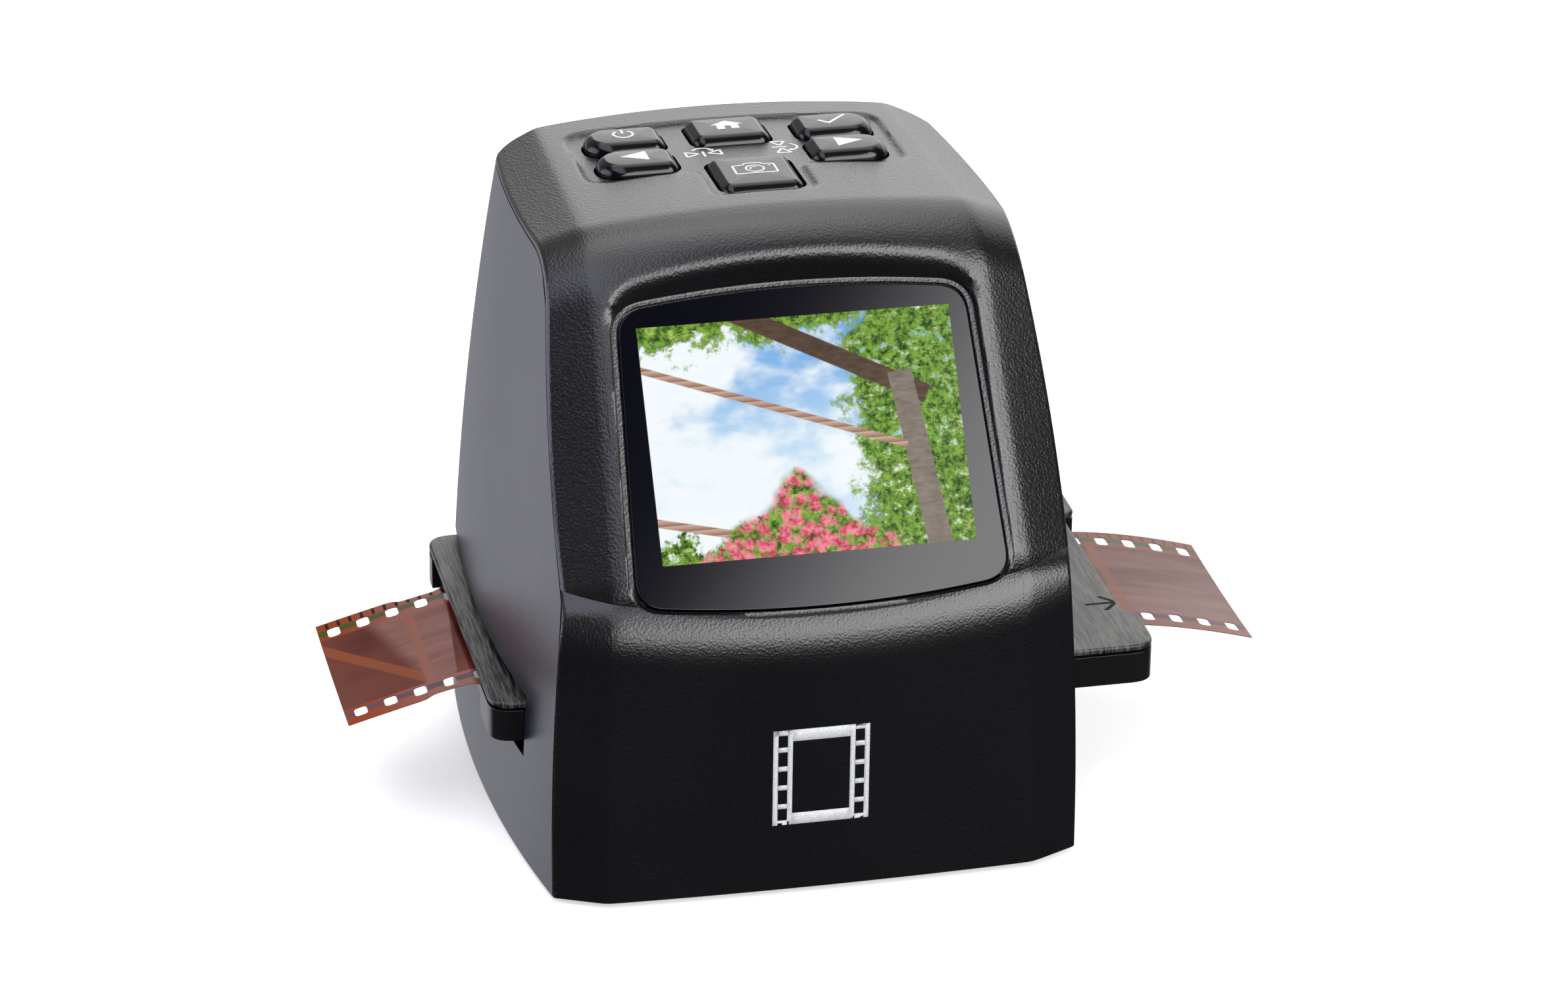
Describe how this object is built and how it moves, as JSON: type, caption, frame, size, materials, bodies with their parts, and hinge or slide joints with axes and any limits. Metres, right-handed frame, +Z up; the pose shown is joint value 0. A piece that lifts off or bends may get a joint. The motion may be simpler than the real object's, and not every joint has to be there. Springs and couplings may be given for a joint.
{
  "type": "film negative scanner",
  "caption": "Upright desktop scanner for film negatives with a tilted screen, push buttons on top and a sliding film tray with a strip of film through both sides.",
  "frame": {"origin": "centre of the base plate's flat underside", "axes": "+X to the viewer's right, along the film; +Y from the screen to the back; +Z up"},
  "size_m": [0.1475, 0.0873, 0.0999],
  "materials": {
    "housing_black": "fine-grained black",
    "side_black": "smooth black with a soft sheen",
    "foot_rubber": "matt black rubber",
    "screw_steel": "bright zinc-plated steel",
    "window_black": "clear acrylic with a black border printed behind it",
    "display": "lit picture",
    "sheet_steel": "tin-plated sheet steel",
    "key_black": "glossy black with pale printed signs",
    "board_green": "green circuit board",
    "switch_black": "black",
    "chip_black": "black",
    "barrel_metal": "black anodised",
    "lens": "clear coated glass",
    "light_white": "matt white",
    "diffuser": "milky white",
    "tray_black": "satin black",
    "tray_grey": "dark grey with fine lengthwise grain",
    "film": "brown translucent film"
  },
  "bodies": {
    "scanner": {"front_cover": "housing_black", "base_plate": "housing_black", "tray_guide_lower": "housing_black", "tray_guide_upper": "housing_black", "light_tunnel": "housing_black", "lens_holder": "housing_black", "rear_housing": "side_black", "rubber_foot_1": "foot_rubber", "rubber_foot_2": "foot_rubber", "rubber_foot_3": "foot_rubber", "rubber_foot_4": "foot_rubber", "base_screw_1": "screw_steel", "base_screw_2": "screw_steel", "base_screw_3": "screw_steel", "base_screw_4": "screw_steel", "key_board_screw_1": "screw_steel", "key_board_screw_2": "screw_steel", "key_board_screw_3": "screw_steel", "key_board_screw_4": "screw_steel", "main_board_screw_1": "screw_steel", "main_board_screw_2": "screw_steel", "main_board_screw_3": "screw_steel", "main_board_screw_4": "screw_steel", "lcd_screw_left": "screw_steel", "lcd_screw_right": "screw_steel", "tunnel_screw_left": "screw_steel", "tunnel_screw_right": "screw_steel", "screen_window": "window_black", "lcd_cell": "display", "lcd_backlight": "sheet_steel", "lcd_bracket": "sheet_steel", "card_socket": "sheet_steel", "usb_socket": "sheet_steel", "key_board": "board_green", "main_board": "board_green", "sensor_board": "board_green", "power_switch": "switch_black", "back_switch": "switch_black", "confirm_switch": "switch_black", "forward_switch": "switch_black", "home_switch": "switch_black", "capture_switch": "switch_black", "processor_chip": "chip_black", "image_sensor": "chip_black", "lens_barrel": "barrel_metal", "lens_glass": "lens", "light_box": "light_white", "led_board": "light_white", "diffuser_plate": "diffuser"},
    "tray": {"tray_base": "tray_black", "tray_cover": "tray_grey", "tray_hinge_pin_left": "screw_steel", "tray_hinge_pin_right": "screw_steel"},
    "film": {"film_strip": "film"},
    "power_key": {"power_button": "key_black"},
    "back_key": {"back_button": "key_black"},
    "confirm_key": {"confirm_button": "key_black"},
    "forward_key": {"forward_button": "key_black"},
    "home_key": {"home_button": "key_black"},
    "capture_key": {"capture_button": "key_black"}
  },
  "joints": [
    {"name": "tray_slide", "type": "slide", "parent": "scanner", "child": "tray", "axis": [1, 0, 0], "range_m": [-0.01, 0.092]},
    {"name": "film_advance", "type": "slide", "parent": "tray", "child": "film", "axis": [1, 0, 0], "range_m": [-0.038, 0.038], "deforming": ["film_strip"]},
    {"name": "power_press", "type": "slide", "parent": "scanner", "child": "power_key", "axis": [0, 0, 1], "range_m": [-0.0008, 0], "stiffness_N_per_m": 600, "springref_m": 0.0001},
    {"name": "back_press", "type": "slide", "parent": "scanner", "child": "back_key", "axis": [0, 0, 1], "range_m": [-0.0008, 0], "stiffness_N_per_m": 600, "springref_m": 0.0001},
    {"name": "confirm_press", "type": "slide", "parent": "scanner", "child": "confirm_key", "axis": [0, 0, 1], "range_m": [-0.0008, 0], "stiffness_N_per_m": 600, "springref_m": 0.0001},
    {"name": "forward_press", "type": "slide", "parent": "scanner", "child": "forward_key", "axis": [0, 0, 1], "range_m": [-0.0008, 0], "stiffness_N_per_m": 600, "springref_m": 0.0001},
    {"name": "home_press", "type": "slide", "parent": "scanner", "child": "home_key", "axis": [0, 0, 1], "range_m": [-0.0008, 0], "stiffness_N_per_m": 600, "springref_m": 0.0001},
    {"name": "capture_press", "type": "slide", "parent": "scanner", "child": "capture_key", "axis": [0, 0, 1], "range_m": [-0.0008, 0], "stiffness_N_per_m": 600, "springref_m": 0.0001}
  ]
}
